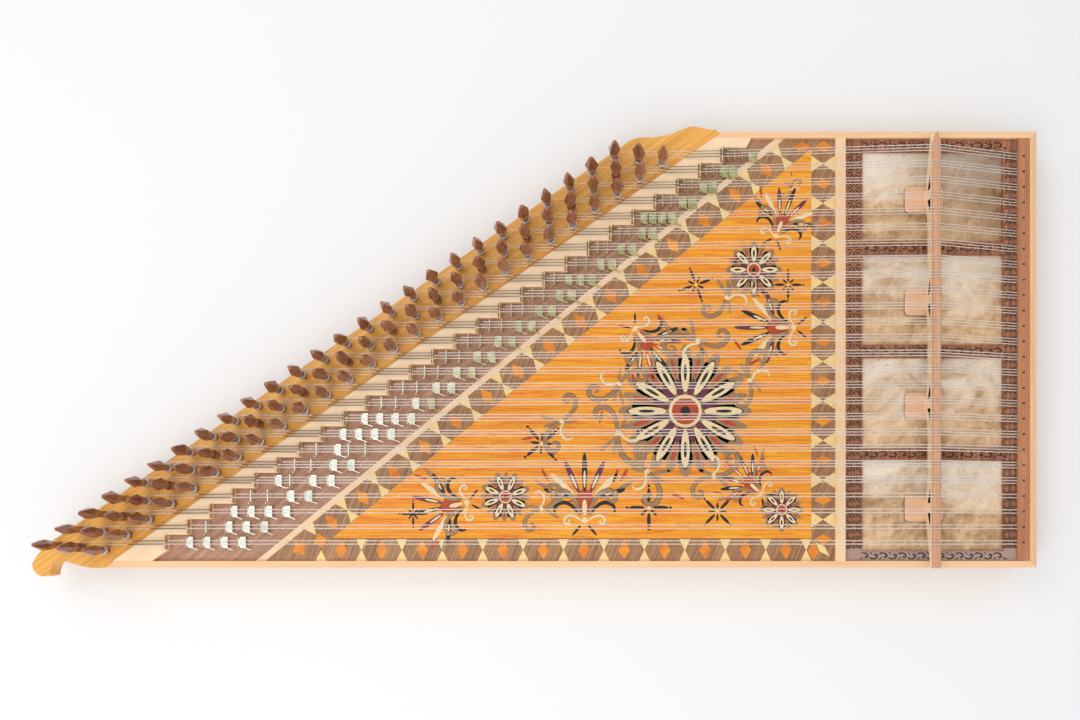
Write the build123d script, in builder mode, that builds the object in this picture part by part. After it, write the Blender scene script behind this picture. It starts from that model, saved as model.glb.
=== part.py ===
from build123d import *
import os
from math import cos, hypot, pi, radians, sin, tan

# A qanun: a flat plucked zither with a trapezoid box, 26 courses of strings, a slanted board of
# tuning pegs, small hinged levers that raise a course by steps, and a bridge on four skins.
# +X points along the strings from the pegs to the skins, +Y points to the short rear side, +Z up.
# The origin is at the middle of the footprint, on the surface that the box lies on.

# Box, in millimetres
BODY_RIGHT = 468.4
BODY_FRONT = -201.85
BODY_REAR = 203.65
RAIL_WALL = 6.0
RAIL_TOP = 44.0
BACK_THICK = 4.0
LEDGE_WIDTH = 8.0
FRONT_INNER = BODY_FRONT + RAIL_WALL
REAR_INNER = BODY_REAR - RAIL_WALL
RIGHT_INNER = BODY_RIGHT - RAIL_WALL

# Pegboard: a straight inner edge at a slant, a ball at the front end, a wave at the rear end
PEG_EDGE_START = (-388.4, -194.2)
PEG_EDGE_ANGLE = 35.13
PEGBOARD_TOP = 40.0
PEGBOARD_THICK = 16.0
BLOCK_OUTSIDE = 22.0
BLOCK_INSIDE = 8.0
BALL_CENTRE = (-457.0, -198.9)
BALL_RADIUS = 11.4

# Courses of strings
COURSES = 26
DOUBLE_COURSES = 4
COURSE_PITCH = 14.38
FIRST_COURSE_Y = -178.45
FIRST_NUT_X = -339.4
NUT_STEP = 20.65
STRING_GAP = 2.6
PAIR_GAP = 3.1
BASS_COURSES = 9
MIDDLE_COURSES = 18
BASS_RADIUS = 0.5
MIDDLE_RADIUS = 0.42
TREBLE_RADIUS = 0.35
STRING_LIFT = 0.02

# Nut board, lever board and the small nuts
LEVER_BOARD_TOP = 39.5
LEVER_BOARD_THICK = 3.5
NUT_BOARD_TOP = 45.0
NUT_TOP = 48.5
NUT_THICK = 1.4
NUT_LENGTH = 13.2
NUT_SLOT = 1.3
NUT_SLOT_DEPTH = 4.0
NUT_BOARD_FRONT_END = 14.8
NUT_BOARD_REAR_END = (21.5, 26.2)

# Slanted bar, soundboard and its veneers
BAR_FOOT_X = -254.4
BAR_ANGLE = 39.1
BAR_WIDTH = 5.5
BAR_TOP = 41.3
SOUNDBOARD_BOTTOM = 38.4
SOUNDBOARD_TOP = 41.0
VENEER = 0.8
BAND_FRONT = 20.7
BAND_RIGHT = 21.9
BAND_SLANT = 22.8

# Cross rail, skin frame and skins
CROSS_RAIL_X = 281.5
CROSS_RAIL_WIDTH = 9.6
CROSS_RAIL_TOP = 44.5
SKIN_FRAME_TOP = 41.0
SKIN_Z = 36.4
SKIN_THICK = 0.8
WINDOW_LEFT = 307.5
WINDOW_RIGHT = 438.9
WINDOW_DEPTH = 84.0
WINDOW_FRONT = -186.25
WINDOW_REAR = 186.45
HITCH_X = 451.3
STRING_END_Z = 42.3

# Bridge
BRIDGE_X = 370.0
BRIDGE_WALL = 8.4
BRIDGE_TOP = 62.0
BRIDGE_CAP = 4.0
CAP_WIDTH = 7.6
CAP_CHAMFER = 1.2
BRIDGE_FRONT = -202.0
BRIDGE_REAR = 195.3
FOOT_X = 365.2
FOOT_SHIFT = -2.4
FOOT_LENGTH = 36.0
FOOT_WIDTH = 24.4
FOOT_THICK = 2.4

# Tuning pegs: three in a row for each course
FIRST_PEG = (-398.4, -185.65)
PEG_STEP = (20.74, 14.39)
PEG_ROW = (-22.0, 2.4)
PEG_RADIUS = 3.2
PEG_HOLE_PLAY = 0.08
PEG_DEPTH = 13.0
SHANK_HEIGHT = 10.5
HEAD_HALF_LONG = 6.3
HEAD_HALF_FLAT = 4.6
HEAD_CORNER = 2.8
HEAD_WIDEST = 23.5
HEAD_HEIGHT = 38.0
HEAD_TAPER_UP = 12.6
HEAD_TAPER_DOWN = 8.0
MOVING_PEG_EVERY = 2
MOVING_PEG_PLACE = 1
TURN_BY_COURSE = 47
TURN_BY_PLACE = 67

# String windings on the pegs
TURNS = 3
TURN_PITCH = 1.5
WIRE_RADIUS = 0.5
WINDING_RADIUS = PEG_RADIUS + WIRE_RADIUS + 0.05
WINDING_Z = PEGBOARD_TOP + 4.6
WINDING_LEAD = 1.0
RUNNING_GAP = 0.3

# Levers: four to a course
LEVER_AXIS_Z = 42.6
LEVER_THICK = 0.8
LEVER_HALF_WIDTH = 5.2
LEVER_ROOT = 1.5
BARREL_RADIUS = 0.7
BARREL_HALF = 3.6
PIN_RADIUS = 0.3
PIN_PLAY = 0.05
BRACKET_THICK = 0.8
BRACKET_HALF = 0.6
BRACKET_NOTCH = 4.0
BRACKET_CROWN = 0.7
TAB_REACH = 4.6
TAB_ROOT = 2.0
TAB_DROP = 2.4
TAB_WIDTH = 0.9
LEVER_OFFSETS_BASS = (16.8, 32.5, 48.5, 65.0)
LEVER_OFFSETS_TREBLE = (4.0, 10.0, 17.0, 24.5)
FIRST_TAPERED_COURSE = 4
# R is a raised lever and F a flat one, from the nut outwards
LEVER_STATES = (
    ["FFFF", "RFFF", "FFFF", "RRFF", "FRFF", "RRFF", "RFRR", "FFFF", "FFFF"]
    + ["RRFF"] * 8
    + ["RFFF"]
    + ["RRFF"] * 3
    + ["FFFF"]
    + ["RRFF"] * 3
    + ["RRRF"]
)
MOVING_LEVER_EVERY = 2
MOVING_LEVER_PLACE = 3


def course_y(course):
    """Height of a course on the plan, counted from the long front side."""
    return FIRST_COURSE_Y + course * COURSE_PITCH


def nut_x(course):
    """Speaking face of the nut of a course."""
    return FIRST_NUT_X + course * NUT_STEP


def peg_edge_x(y, shift=0.0):
    """Inner edge of the pegboard at a given y, moved square to itself by a shift to the right."""
    slant = radians(PEG_EDGE_ANGLE)
    return PEG_EDGE_START[0] + (y - PEG_EDGE_START[1]) / tan(slant) + shift / sin(slant)


def bar_x(y, shift=0.0):
    """Centre line of the slanted bar at a given y, moved square to itself to the right."""
    slant = radians(BAR_ANGLE)
    return BAR_FOOT_X + (y - FRONT_INNER) / tan(slant) + shift / sin(slant)


def peg_place(course, place):
    """Centre of a tuning peg; place 0 is nearest to the nut."""
    x = FIRST_PEG[0] + course * PEG_STEP[0] + place * PEG_ROW[0]
    y = FIRST_PEG[1] + course * PEG_STEP[1] + place * PEG_ROW[1]
    return x, y


def string_radius(course):
    """Bass courses carry the thickest strings."""
    if course < BASS_COURSES:
        return BASS_RADIUS
    if course < MIDDLE_COURSES:
        return MIDDLE_RADIUS
    return TREBLE_RADIUS


def string_offsets(course):
    """Strings of a course across it, each with the place of its peg."""
    if course < DOUBLE_COURSES:
        return ((-PAIR_GAP / 2, 0), (PAIR_GAP / 2, 1))
    return ((-STRING_GAP, 0), (0.0, 1), (STRING_GAP, 2))


def string_height(course, x):
    """Centre of a string between its nut and the bridge."""
    radius = string_radius(course)
    start = NUT_TOP + STRING_LIFT + radius
    end = BRIDGE_TOP + STRING_LIFT + radius
    cap_edge = BRIDGE_X - CAP_WIDTH / 2 + CAP_CHAMFER
    return start + (end - start) * (x - nut_x(course)) / (cap_edge - nut_x(course))


def lever_axis_x(course, place):
    """Hinge line of a lever; the four draw together towards the short courses."""
    bass_share = min(1.0, (COURSES - 1 - course) / (COURSES - 1 - FIRST_TAPERED_COURSE))
    bass, treble = LEVER_OFFSETS_BASS[place], LEVER_OFFSETS_TREBLE[place]
    return nut_x(course) + treble + (bass - treble) * bass_share


def lever_length(course, place):
    """A raised lever ends just under its strings."""
    underside = string_height(course, lever_axis_x(course, place)) - string_radius(course)
    return underside - RUNNING_GAP - LEVER_AXIS_Z


def is_moving_peg(course, place):
    return course % MOVING_PEG_EVERY == 0 and place == MOVING_PEG_PLACE


def is_moving_lever(course, place):
    return course % MOVING_LEVER_EVERY == 1 and place == MOVING_LEVER_PLACE


os.makedirs("parts", exist_ok=True)

cross_right = CROSS_RAIL_X + CROSS_RAIL_WIDTH
ledge_front = FRONT_INNER + LEDGE_WIDTH
ledge_rear = REAR_INNER - LEDGE_WIDTH
lever_board_bottom = LEVER_BOARD_TOP - LEVER_BOARD_THICK
bearer_bottom = 28.0
bar_half = BAR_WIDTH / 2
bracket_inner = BARREL_HALF + RUNNING_GAP
BEAM_UNDER_LEVERS = 10.0
BEAM_UNDER_SOUNDBOARD = 6.0
beam_left = bar_half - BEAM_UNDER_LEVERS
beam_right = bar_half + BEAM_UNDER_SOUNDBOARD

# Back board: the whole underside, in one thin sheet
block_front = (peg_edge_x(-190.0, -BLOCK_OUTSIDE), -190.0)
block_rear = (peg_edge_x(BODY_REAR, -BLOCK_OUTSIDE), BODY_REAR)
rail_end_outer = (PEG_EDGE_START[0] + BODY_FRONT - PEG_EDGE_START[1], BODY_FRONT)
rail_end_inner = (PEG_EDGE_START[0] + FRONT_INNER - PEG_EDGE_START[1], FRONT_INNER)
with BuildPart() as back_board:
    with BuildSketch():
        Polygon(
            rail_end_outer,
            (BODY_RIGHT, BODY_FRONT),
            (BODY_RIGHT, BODY_REAR),
            block_rear,
            block_front,
            align=None,
        )
    extrude(amount=BACK_THICK)
back_board.part.label = "back_board"
export_step(back_board.part, "parts/back_board.step")


def ledge(outer_y, inner_y, left, right, top):
    """Inner step of a long rail, which carries the boards."""
    with Locations(((left + right) / 2, (outer_y + inner_y) / 2, BACK_THICK)):
        Box(
            right - left, abs(inner_y - outer_y), top - BACK_THICK,
            align=(Align.CENTER, Align.CENTER, Align.MIN),
        )


# Front rail: a wall with a ledge that steps down under the levers and the skins
with BuildPart() as front_rail:
    with BuildSketch(Plane.XY.offset(BACK_THICK)):
        Polygon(
            rail_end_outer,
            (BODY_RIGHT, BODY_FRONT),
            (RIGHT_INNER, FRONT_INNER),
            rail_end_inner,
            align=None,
        )
    extrude(amount=RAIL_TOP - BACK_THICK)
    block_end = peg_edge_x(ledge_front, BLOCK_INSIDE)
    beam_start = bar_x(FRONT_INNER, beam_left)
    beam_end = bar_x(ledge_front, beam_right)
    ledge(FRONT_INNER, ledge_front, block_end, beam_start, lever_board_bottom)
    ledge(FRONT_INNER, ledge_front, beam_end, CROSS_RAIL_X, SOUNDBOARD_BOTTOM)
    ledge(FRONT_INNER, ledge_front, cross_right, HITCH_X, bearer_bottom)
front_rail.part.label = "front_rail"
export_step(front_rail.part, "parts/front_rail.step")

# Rear rail: the same section, much shorter
with BuildPart() as rear_rail:
    with BuildSketch(Plane.XY.offset(BACK_THICK)):
        Polygon(
            (peg_edge_x(REAR_INNER), REAR_INNER),
            (RIGHT_INNER, REAR_INNER),
            (BODY_RIGHT, BODY_REAR),
            (peg_edge_x(BODY_REAR), BODY_REAR),
            align=None,
        )
    extrude(amount=RAIL_TOP - BACK_THICK)
    ledge(REAR_INNER, ledge_rear, bar_x(REAR_INNER, beam_right), CROSS_RAIL_X, SOUNDBOARD_BOTTOM)
    ledge(REAR_INNER, ledge_rear, cross_right, HITCH_X, bearer_bottom)
rear_rail.part.label = "rear_rail"
export_step(rear_rail.part, "parts/rear_rail.step")

# End rail: closes the box behind the hitch block, mitred to both long rails
with BuildPart() as end_rail:
    with BuildSketch(Plane.XY.offset(BACK_THICK)):
        Polygon(
            (BODY_RIGHT, BODY_FRONT),
            (BODY_RIGHT, BODY_REAR),
            (RIGHT_INNER, REAR_INNER),
            (RIGHT_INNER, FRONT_INNER),
            align=None,
        )
    extrude(amount=RAIL_TOP - BACK_THICK)
end_rail.part.label = "end_rail"
export_step(end_rail.part, "parts/end_rail.step")

# Peg block: the slanted side wall, hidden under the pegboard
with BuildPart() as peg_block:
    with BuildSketch(Plane.XY.offset(BACK_THICK)):
        Polygon(
            rail_end_outer,
            rail_end_inner,
            (peg_edge_x(FRONT_INNER, BLOCK_INSIDE), FRONT_INNER),
            (peg_edge_x(REAR_INNER, BLOCK_INSIDE), REAR_INNER),
            (peg_edge_x(REAR_INNER), REAR_INNER),
            (peg_edge_x(BODY_REAR), BODY_REAR),
            block_rear,
            block_front,
            align=None,
        )
    extrude(amount=PEGBOARD_TOP - PEGBOARD_THICK - BACK_THICK)
peg_block.part.label = "peg_block"
export_step(peg_block.part, "parts/peg_block.step")

# Pegboard: one plank, its front end shaped as a ball and its rear end as a wave
peg_corner_rear = (peg_edge_x(202.7), 202.7)
peg_corner_front = (-393.8, -199.6)
with BuildPart() as pegboard:
    with BuildSketch(Plane.XY.offset(PEGBOARD_TOP - PEGBOARD_THICK)):
        with BuildLine():
            Line(PEG_EDGE_START, peg_corner_rear)
            Line(peg_corner_rear, (170.6, 207.2))
            Spline(
                (170.6, 207.2), (160.7, 208.1), (149.2, 210.2), (132.2, 204.5),
                (109.0, 200.0), (95.5, 199.0), (86.0, 193.9),
            )
            Line((86.0, 193.9), (-443.2, -172.8))
            ThreePointArc((-443.2, -172.8), (-461.8, -188.2), (-468.4, BALL_CENTRE[1]))
            ThreePointArc(
                (BALL_CENTRE[0] - BALL_RADIUS, BALL_CENTRE[1]),
                (BALL_CENTRE[0], BALL_CENTRE[1] - BALL_RADIUS),
                (-451.5, -208.9),
            )
            ThreePointArc((-451.5, -208.9), (-449.6, -200.1), (-444.2, -194.2))
            Spline((-444.2, -194.2), (-429.3, -198.6), (-411.0, -202.4), peg_corner_front)
            Line(peg_corner_front, PEG_EDGE_START)
        make_face()
    extrude(amount=PEGBOARD_THICK)
    with BuildSketch(Plane.XY.offset(PEGBOARD_TOP)):
        with Locations([peg_place(i, j) for i in range(COURSES) for j in range(3)]):
            Circle(PEG_RADIUS + PEG_HOLE_PLAY)
    extrude(amount=-PEGBOARD_THICK, mode=Mode.SUBTRACT)
pegboard.part.label = "pegboard"
export_step(pegboard.part, "parts/pegboard.step")

# Slant beam: stands under the slanted bar and carries the edges of both boards
with BuildPart() as slant_beam:
    for left, right, top in (
        (beam_left, bar_half, lever_board_bottom),
        (bar_half, beam_right, SOUNDBOARD_BOTTOM),
    ):
        with BuildSketch(Plane.XY.offset(BACK_THICK)):
            Polygon(
                (bar_x(ledge_front, left), ledge_front),
                (bar_x(ledge_front, right), ledge_front),
                (bar_x(ledge_rear, right), ledge_rear),
                (bar_x(ledge_rear, left), ledge_rear),
                align=None,
            )
        extrude(amount=top - BACK_THICK)
slant_beam.part.label = "slant_beam"
export_step(slant_beam.part, "parts/slant_beam.step")

# Lever board: the walnut board between the pegboard and the slanted bar
with BuildPart() as lever_board:
    with BuildSketch(Plane.XY.offset(lever_board_bottom)):
        Polygon(
            PEG_EDGE_START,
            rail_end_inner,
            (bar_x(FRONT_INNER, bar_half), FRONT_INNER),
            (bar_x(REAR_INNER, bar_half), REAR_INNER),
            (peg_edge_x(REAR_INNER), REAR_INNER),
            align=None,
        )
    extrude(amount=LEVER_BOARD_THICK)
lever_board.part.label = "lever_board"
export_step(lever_board.part, "parts/lever_board.step")

# Nut board: its edge steps up by one course at a time, with a slot behind each nut
BOARD_JOINT = 0.05
step_corners = [
    (nut_x(0) - NUT_BOARD_FRONT_END, FRONT_INNER),
    (nut_x(0), course_y(0) - COURSE_PITCH / 2),
]
for i in range(COURSES):
    step_corners.append((nut_x(i), course_y(i) + COURSE_PITCH / 2))
    if i < COURSES - 1:
        step_corners.append((nut_x(i + 1), course_y(i) + COURSE_PITCH / 2))
step_corners += [
    (nut_x(COURSES - 1) + NUT_BOARD_REAR_END[0], course_y(COURSES - 1) + COURSE_PITCH / 2),
    (nut_x(COURSES - 1) + NUT_BOARD_REAR_END[1], REAR_INNER),
]
slot_x = -NUT_THICK - NUT_SLOT / 2
with BuildPart() as nut_board:
    with BuildSketch(Plane.XY.offset(LEVER_BOARD_TOP)):
        Polygon(
            (peg_edge_x(PEG_EDGE_START[1], BOARD_JOINT), PEG_EDGE_START[1]),
            (rail_end_inner[0] + BOARD_JOINT, FRONT_INNER),
            *step_corners,
            (peg_edge_x(REAR_INNER, BOARD_JOINT), REAR_INNER),
            align=None,
        )
    extrude(amount=NUT_BOARD_TOP - LEVER_BOARD_TOP)
    with BuildSketch(Plane.XY.offset(NUT_BOARD_TOP)):
        with Locations([(nut_x(i) + slot_x, course_y(i)) for i in range(COURSES)]):
            Rectangle(NUT_SLOT, NUT_LENGTH)
    extrude(amount=-NUT_SLOT_DEPTH, mode=Mode.SUBTRACT)
nut_board.part.label = "nut_board"
export_step(nut_board.part, "parts/nut_board.step")

# Nuts: one small rounded bar at the end of each step
with BuildPart() as course_nuts:
    for i in range(COURSES):
        with BuildSketch(Plane.XZ.offset(NUT_LENGTH / 2 - course_y(i))):
            with BuildLine():
                left, right = nut_x(i) - NUT_THICK, nut_x(i)
                crown = NUT_TOP - NUT_THICK / 2
                Polyline((left, crown), (left, NUT_BOARD_TOP), (right, NUT_BOARD_TOP), (right, crown))
                ThreePointArc((right, crown), (right - NUT_THICK / 2, NUT_TOP), (left, crown))
            make_face()
        extrude(amount=-NUT_LENGTH)
course_nuts.part.label = "course_nuts"
export_step(course_nuts.part, "parts/course_nuts.step")

# Slanted bar: the pale strip between the levers and the soundboard. Over the shortest
# courses the last bracket stands in a notch of its edge.
with BuildPart() as slanted_bar:
    with BuildSketch(Plane.XY.offset(LEVER_BOARD_TOP)):
        Polygon(
            (bar_x(FRONT_INNER, -bar_half), FRONT_INNER),
            (bar_x(FRONT_INNER, bar_half), FRONT_INNER),
            (bar_x(REAR_INNER, bar_half), REAR_INNER),
            (bar_x(REAR_INNER, -bar_half), REAR_INNER),
            align=None,
        )
    extrude(amount=BAR_TOP - LEVER_BOARD_TOP)
    for i in range(COURSES):
        side = lever_axis_x(i, 3) + BRACKET_HALF + BOARD_JOINT
        notch_width = BRACKET_THICK + 2 * BOARD_JOINT
        notch_front = course_y(i) - bracket_inner - BRACKET_THICK - BOARD_JOINT
        if side > bar_x(notch_front, -bar_half):
            with Locations((side, notch_front, LEVER_BOARD_TOP)):
                Box(
                    BRACKET_NOTCH, notch_width, BAR_TOP - LEVER_BOARD_TOP,
                    align=(Align.MAX, Align.MIN, Align.MIN), mode=Mode.SUBTRACT,
                )
slanted_bar.part.label = "slanted_bar"
export_step(slanted_bar.part, "parts/slanted_bar.step")

# Soundboard: a thin plate, with a raised triangle that the veneer bands surround
field_front = FRONT_INNER + BAND_FRONT
field_right = CROSS_RAIL_X - BAND_RIGHT
field_shift = bar_half + BAND_SLANT
slant = radians(BAR_ANGLE)
field_left_corner = (bar_x(field_front, field_shift), field_front)
field_rear_y = field_front + (field_right - field_left_corner[0]) * tan(slant)
field_corners = [field_left_corner, (field_right, field_front), (field_right, field_rear_y)]
board_corners = [
    (bar_x(FRONT_INNER, bar_half), FRONT_INNER),
    (CROSS_RAIL_X, FRONT_INNER),
    (CROSS_RAIL_X, REAR_INNER),
    (bar_x(REAR_INNER, bar_half), REAR_INNER),
]
with BuildPart() as soundboard:
    with BuildSketch(Plane.XY.offset(SOUNDBOARD_BOTTOM)):
        Polygon(*board_corners, align=None)
    extrude(amount=SOUNDBOARD_TOP - VENEER - SOUNDBOARD_BOTTOM)
    with BuildSketch(Plane.XY.offset(SOUNDBOARD_TOP - VENEER)):
        Polygon(*field_corners, align=None)
    extrude(amount=VENEER)
soundboard.part.label = "soundboard"
export_step(soundboard.part, "parts/soundboard.step")

# Veneer bands: pale bow ties, orange diamonds, and walnut that fills the rest.
# A band has its width, the base of its ties, and the length and width of its diamonds.
FRONT_BAND = (BAND_FRONT, 10.4, 17.8, 10.8)
RIGHT_BAND = (BAND_RIGHT, 14.9, 16.8, 9.4)
SLANT_BAND = (BAND_SLANT, 10.2, 17.6, 10.8)
TIE_NECK = 0.3
TIP_GAP = 0.1

# Place of the first whole tie, pitch, and count of whole ties
FRONT_CELLS = (-160.27, 37.73, 12)
RIGHT_CELLS = (174.9, -36.9, 10)
SLANT_CELLS = (26.5, 37.3, 15)

# Odd diamonds that fill the corners: place, turn, length and width
CORNER_DIAMONDS = (
    (261.6, -186.5, 0.0, 17.6, 10.6),
    (-198.8, -177.0, 18.4, 14.4, 12.8),
    (-218.0, -184.2, 31.8, 14.0, 14.4),
    (250.9, 190.5, 90.0, 17.0, 9.6),
    (271.2, 190.8, 90.0, 17.0, 11.0),
)
CORNER_SLIVER = (269.9, -184.8, 45.0, 19.0, 6.4)
slant_top = (field_right, field_rear_y)


def front_cell(step):
    """Cell of the front band, a count of pitches from its first whole tie."""
    return FRONT_CELLS[0] + step * FRONT_CELLS[1], FRONT_INNER + BAND_FRONT / 2, 0, FRONT_BAND


def right_cell(step):
    return CROSS_RAIL_X - BAND_RIGHT / 2, RIGHT_CELLS[0] + step * RIGHT_CELLS[1], 90, RIGHT_BAND


def slant_cell(step):
    """Cell on the middle of the slanted band, counted down from its rear corner."""
    distance = SLANT_CELLS[0] + step * SLANT_CELLS[1]
    x = slant_top[0] - distance * cos(slant) - BAND_SLANT / 2 * sin(slant)
    y = slant_top[1] - distance * sin(slant) + BAND_SLANT / 2 * cos(slant)
    return x, y, BAR_ANGLE, SLANT_BAND


def bow_tie(x, y, turn, band):
    """Two triangles, tip to tip across the band."""
    width, base = band[:2]
    with Locations(Location((x, y), turn)):
        Polygon(
            (-base / 2, width / 2), (-TIE_NECK / 2, 0), (-base / 2, -width / 2),
            (base / 2, -width / 2), (TIE_NECK / 2, 0), (base / 2, width / 2),
            align=None,
        )


def half_tie(x, y, turn, band, side):
    """One triangle, its base on an edge of the band; side is 1 or -1."""
    width, base = band[:2]
    with Locations(Location((x, y), turn)):
        Polygon(
            (-base / 2, side * width / 2), (base / 2, side * width / 2), (0, side * TIP_GAP),
            align=None,
        )


def diamond(x, y, turn, long, short):
    with Locations(Location((x, y), turn)):
        Polygon((0, long / 2), (-short / 2, 0), (0, -long / 2), (short / 2, 0), align=None)


def bow_ties():
    """Whole ties, a half tie at the left end of two bands, and the corner's pale sliver."""
    for cell, cells in (
        (front_cell, FRONT_CELLS), (right_cell, RIGHT_CELLS), (slant_cell, SLANT_CELLS)
    ):
        for k in range(cells[2]):
            bow_tie(*cell(k))
    half_tie(*front_cell(-1), -1)
    half_tie(*slant_cell(SLANT_CELLS[2]), 1)
    diamond(*CORNER_SLIVER)


def diamonds():
    """One diamond between every two ties, its long way across the band, and the odd ones."""
    places = [front_cell(k - 0.5) for k in range(FRONT_CELLS[2])]
    places += [right_cell(k + 0.5) for k in range(RIGHT_CELLS[2])]
    places += [slant_cell(k + 0.5) for k in range(SLANT_CELLS[2])]
    for x, y, turn, band in places:
        diamond(x, y, turn, band[2], band[3])
    for odd in CORNER_DIAMONDS:
        diamond(*odd)


veneer_plane = Plane.XY.offset(SOUNDBOARD_TOP - VENEER)
with BuildPart() as inlay_bow_ties:
    with BuildSketch(veneer_plane):
        bow_ties()
    extrude(amount=VENEER)
inlay_bow_ties.part.label = "inlay_bow_ties"
export_step(inlay_bow_ties.part, "parts/inlay_bow_ties.step")

with BuildPart() as inlay_diamonds:
    with BuildSketch(veneer_plane):
        diamonds()
    extrude(amount=VENEER)
inlay_diamonds.part.label = "inlay_diamonds"
export_step(inlay_diamonds.part, "parts/inlay_diamonds.step")

with BuildPart() as inlay_walnut:
    with BuildSketch(veneer_plane) as walnut_face:
        Polygon(*board_corners, align=None)
        Polygon(*field_corners, align=None, mode=Mode.SUBTRACT)
        with BuildSketch(veneer_plane, mode=Mode.PRIVATE) as tiles:
            bow_ties()
            diamonds()
        add(tiles.sketch, mode=Mode.SUBTRACT)
    extrude(amount=VENEER)
inlay_walnut.part.label = "inlay_walnut"
export_step(inlay_walnut.part, "parts/inlay_walnut.step")

# Soundboard braces: three light bars glued under the soundboard
BRACES_X = (-60.0, 70.0, 190.0)
BRACE_WIDTH = 9.0
BRACE_HEIGHT = 7.0
BRACE_GAP = 1.0
with BuildPart() as soundboard_braces:
    for x in BRACES_X:
        beam_run = x - bar_x(FRONT_INNER, beam_right + BRACE_GAP)
        brace_rear = FRONT_INNER + beam_run * tan(slant) - BRACE_WIDTH
        with BuildSketch(Plane.XY.offset(SOUNDBOARD_BOTTOM - BRACE_HEIGHT)):
            with Locations((x, (ledge_front + brace_rear) / 2)):
                Rectangle(BRACE_WIDTH, brace_rear - ledge_front)
        extrude(amount=BRACE_HEIGHT)
soundboard_braces.part.label = "soundboard_braces"
export_step(soundboard_braces.part, "parts/soundboard_braces.step")

# Cross rail: parts the soundboard from the skins; holes in its web join the two air spaces
AIR_HOLE_RADIUS = 9.0
AIR_HOLE_PITCH = 62.0
AIR_HOLE_Z = 19.0
AIR_HOLES = 6
CROSS_CHAMFER = 0.6
with BuildPart() as cross_rail:
    with BuildSketch(Plane.XY.offset(BACK_THICK)):
        with Locations((CROSS_RAIL_X + CROSS_RAIL_WIDTH / 2, (FRONT_INNER + REAR_INNER) / 2)):
            Rectangle(CROSS_RAIL_WIDTH, REAR_INNER - FRONT_INNER)
    extrude(amount=CROSS_RAIL_TOP - BACK_THICK)
    with BuildSketch(Plane.YZ.offset(CROSS_RAIL_X)):
        with Locations((0, AIR_HOLE_Z)):
            with GridLocations(AIR_HOLE_PITCH, 0, AIR_HOLES, 1):
                Circle(AIR_HOLE_RADIUS)
    extrude(amount=CROSS_RAIL_WIDTH, mode=Mode.SUBTRACT)
    chamfer(cross_rail.faces().sort_by(Axis.Z)[-1].edges().filter_by(Axis.Y), CROSS_CHAMFER)
cross_rail.part.label = "cross_rail"
export_step(cross_rail.part, "parts/cross_rail.step")

# Skins and the two frames that clamp them
WINDOWS = 4
SKIN_MARGIN = 5.0
RIM_CHAMFER = 0.8
window_pitch = (WINDOW_REAR - WINDOW_FRONT - WINDOW_DEPTH) / (WINDOWS - 1)
window_x = (WINDOW_LEFT + WINDOW_RIGHT) / 2
window_y = [WINDOW_FRONT + WINDOW_DEPTH / 2 + k * window_pitch for k in range(WINDOWS)]


def frame_plan():
    """Four windows in a plate that fills the space between the rails."""
    with Locations(((cross_right + HITCH_X) / 2, (FRONT_INNER + REAR_INNER) / 2)):
        Rectangle(HITCH_X - cross_right, REAR_INNER - FRONT_INNER)
    with Locations([(window_x, y) for y in window_y]):
        Rectangle(WINDOW_RIGHT - WINDOW_LEFT, WINDOW_DEPTH, mode=Mode.SUBTRACT)


with BuildPart() as skin_bearer:
    with BuildSketch(Plane.XY.offset(bearer_bottom)):
        frame_plan()
    extrude(amount=SKIN_Z - bearer_bottom)
skin_bearer.part.label = "skin_bearer"
export_step(skin_bearer.part, "parts/skin_bearer.step")

with BuildPart() as skin_frame:
    with BuildSketch(Plane.XY.offset(SKIN_Z + SKIN_THICK)):
        frame_plan()
    extrude(amount=SKIN_FRAME_TOP - SKIN_Z - SKIN_THICK)
    window_rims = skin_frame.faces().sort_by(Axis.Z)[-1].inner_wires().edges()
    chamfer(window_rims, RIM_CHAMFER)
skin_frame.part.label = "skin_frame"
export_step(skin_frame.part, "parts/skin_frame.step")

with BuildPart() as skins:
    with BuildSketch(Plane.XY.offset(SKIN_Z)):
        with Locations([(window_x, y) for y in window_y]):
            Rectangle(WINDOW_RIGHT - WINDOW_LEFT + 2 * SKIN_MARGIN, WINDOW_DEPTH + 2 * SKIN_MARGIN)
    extrude(amount=SKIN_THICK)
skins.part.label = "skins"
export_step(skins.part, "parts/skins.step")

# Hitch block: takes the pull of all strings, with one nail for each course
NAIL_X = HITCH_X + 5.4
NAIL_RADIUS = 0.9
NAIL_HEIGHT = 0.6
NAIL_DEPTH = 8.0
HITCH_TOP = 43.6
with BuildPart() as hitch_block:
    with BuildSketch(Plane.XY.offset(BACK_THICK)):
        with Locations(((HITCH_X + RIGHT_INNER) / 2, (FRONT_INNER + REAR_INNER) / 2)):
            Rectangle(RIGHT_INNER - HITCH_X, REAR_INNER - FRONT_INNER)
    extrude(amount=HITCH_TOP - BACK_THICK)
    with BuildSketch(Plane.XY.offset(HITCH_TOP)):
        with Locations([(NAIL_X, course_y(i)) for i in range(COURSES)]):
            Circle(NAIL_RADIUS)
    extrude(amount=-NAIL_DEPTH, mode=Mode.SUBTRACT)
hitch_block.part.label = "hitch_block"
export_step(hitch_block.part, "parts/hitch_block.step")

with BuildPart() as hitch_nails:
    with BuildSketch(Plane.XY.offset(HITCH_TOP - NAIL_DEPTH)):
        with Locations([(NAIL_X, course_y(i)) for i in range(COURSES)]):
            Circle(NAIL_RADIUS)
    extrude(amount=NAIL_DEPTH + NAIL_HEIGHT)
hitch_nails.part.label = "hitch_nails"
export_step(hitch_nails.part, "parts/hitch_nails.step")

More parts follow.
